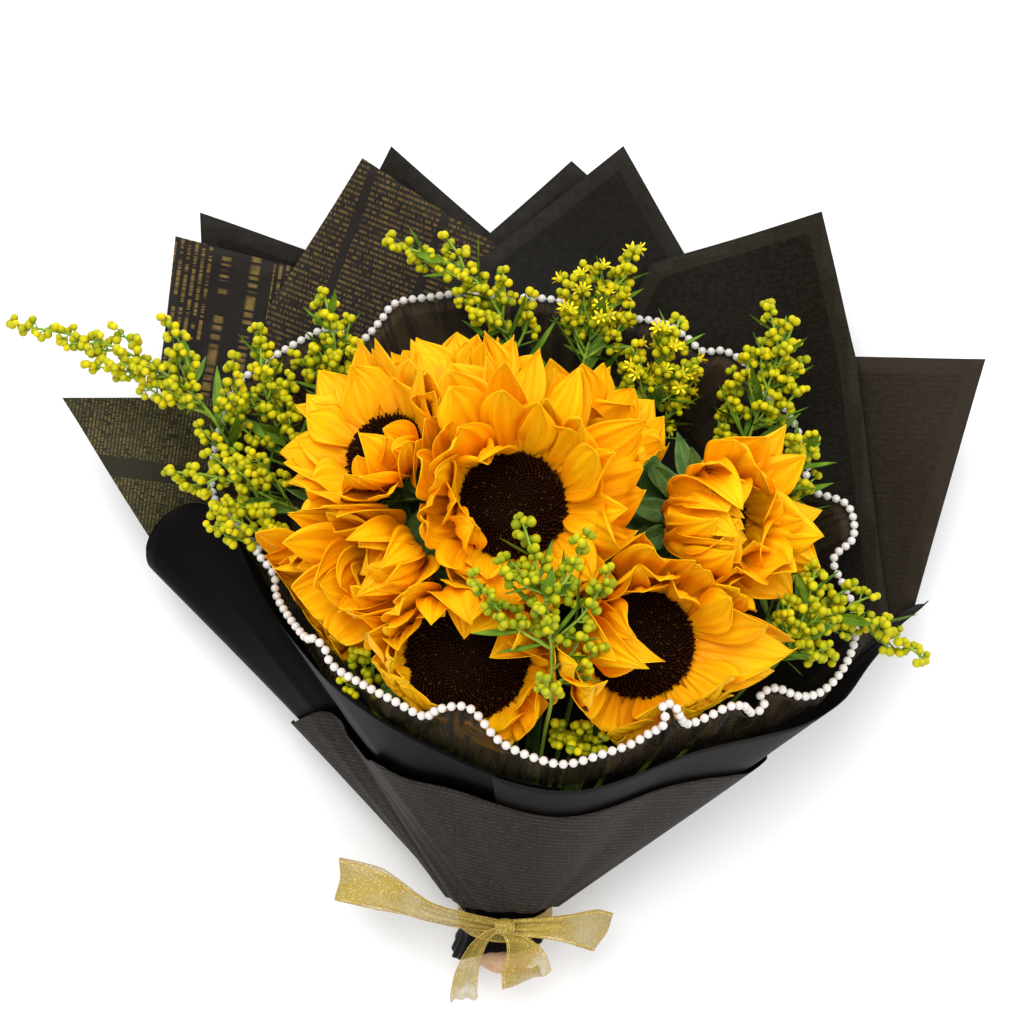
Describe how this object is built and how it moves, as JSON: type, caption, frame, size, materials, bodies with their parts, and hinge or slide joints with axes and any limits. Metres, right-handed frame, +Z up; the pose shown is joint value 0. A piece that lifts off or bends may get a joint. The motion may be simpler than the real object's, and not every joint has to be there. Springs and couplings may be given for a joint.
{
  "type": "bunch of sunflowers",
  "caption": "Bunch of sunflowers with goldenrod sprays, wrapped in dark paper, trimmed with a string of pearls and tied with a gold ribbon, lying on its back.",
  "frame": {"origin": "on the flat underside of the lowest back sheet, where the bunch rests, below the middle of the central bloom", "axes": "+Z up, the way the blooms face; +Y towards the fanned corners of the back sheets; -Y towards the tied stem ends; +X to the right in the view from above"},
  "size_m": [0.5301, 0.4804, 0.2265],
  "materials": {
    "petal": "soft satin petal, warm yellow",
    "disc": "matt, rough with small florets",
    "sunflower_green": "matt, slightly hairy leaf green",
    "goldenrod": "satin yellow-green buds and stems",
    "back_paper": "thin dark paper, partly printed with dull gold dashes",
    "front_paper": "dark paper, partly printed with grey dashes",
    "net": "fine translucent net",
    "pearl": "gloss white pearl",
    "wad": "damp tan wadding",
    "ribbon": "translucent gold organza with glitter edges"
  },
  "bodies": {
    "root": {"petals_centre": "petal", "disc_centre": "disc", "green_centre": "sunflower_green", "petals_front_left": "petal", "disc_front_left": "disc", "green_front_left": "sunflower_green", "petals_front_right": "petal", "disc_front_right": "disc", "green_front_right": "sunflower_green", "petals_right": "petal", "disc_right": "disc", "green_right": "sunflower_green", "petals_left": "petal", "disc_left": "disc", "green_left": "sunflower_green", "petals_back_left": "petal", "disc_back_left": "disc", "green_back_left": "sunflower_green", "petals_back_right": "petal", "disc_back_right": "disc", "green_back_right": "sunflower_green", "petals_low_left": "petal", "disc_low_left": "disc", "green_low_left": "sunflower_green", "petals_far_left": "petal", "disc_far_left": "disc", "green_far_left": "sunflower_green", "spray_left_tip": "goldenrod", "spray_left_inner": "goldenrod", "spray_left_up": "goldenrod", "spray_left_low": "goldenrod", "spray_top_arch": "goldenrod", "spray_top_right": "goldenrod", "spray_upper_right": "goldenrod", "spray_right_up": "goldenrod", "spray_right_mid": "goldenrod", "spray_right_low": "goldenrod", "spray_right_front": "goldenrod", "spray_front_mid": "goldenrod", "spray_front_left": "goldenrod", "spray_centre_front": "goldenrod", "spray_left_side": "goldenrod", "paper_back_e": "back_paper", "paper_back_c": "back_paper", "paper_back_f": "back_paper", "paper_back_b": "back_paper", "paper_back_d": "back_paper", "paper_back_i": "back_paper", "paper_back_g": "back_paper", "paper_back_a": "back_paper", "paper_back_h": "back_paper", "paper_front_left": "front_paper", "paper_front_right": "front_paper", "paper_front_outer": "front_paper", "net_ruffle": "net", "pearl_string": "pearl", "paper_foot": "front_paper", "stem_wad": "wad", "ribbon": "ribbon"}
  },
  "joints": []
}
